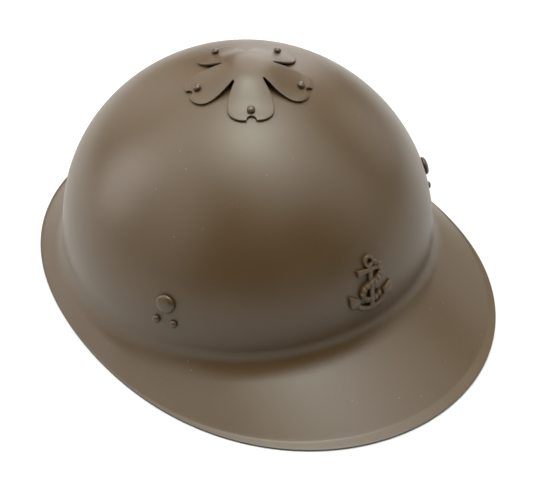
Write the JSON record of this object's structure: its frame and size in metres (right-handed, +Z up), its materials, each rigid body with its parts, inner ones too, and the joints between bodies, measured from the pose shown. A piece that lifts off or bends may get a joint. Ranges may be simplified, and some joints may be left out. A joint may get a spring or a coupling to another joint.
{
  "type": "steel helmet",
  "caption": "Rounded steel helmet with a long front visor, a flared brim, a petal vent cover, domed rivets and an anchor badge.",
  "frame": {"origin": "on the plane that the rim stands on, at the middle of the rim's length and width", "axes": "+Z up through the crown, -Y towards the front of the visor, +X to the wearer's left"},
  "size_m": [0.2314, 0.295, 0.1325],
  "materials": {
    "shell_paint": "smooth satin olive-brown paint",
    "cover_paint": "smooth satin olive-brown paint",
    "rivet_paint": "satin olive-brown paint, slightly glossier on the heads",
    "badge_paint": "darker satin brown paint with shaded recesses"
  },
  "bodies": {
    "root": {"shell": "shell_paint", "vent_cover": "cover_paint", "vent_rivet_1": "rivet_paint", "vent_rivet_2": "rivet_paint", "vent_rivet_3": "rivet_paint", "vent_rivet_4": "rivet_paint", "vent_rivet_5": "rivet_paint", "liner_rivet_front_right": "rivet_paint", "liner_rivet_front_left": "rivet_paint", "liner_rivet_rear_right": "rivet_paint", "liner_rivet_rear_left": "rivet_paint", "strap_rivet_front_right_1": "rivet_paint", "strap_rivet_front_right_2": "rivet_paint", "strap_rivet_front_left_1": "rivet_paint", "strap_rivet_front_left_2": "rivet_paint", "strap_rivet_rear_right_1": "rivet_paint", "strap_rivet_rear_right_2": "rivet_paint", "strap_rivet_rear_left_1": "rivet_paint", "strap_rivet_rear_left_2": "rivet_paint", "anchor_badge": "badge_paint"}
  },
  "joints": []
}
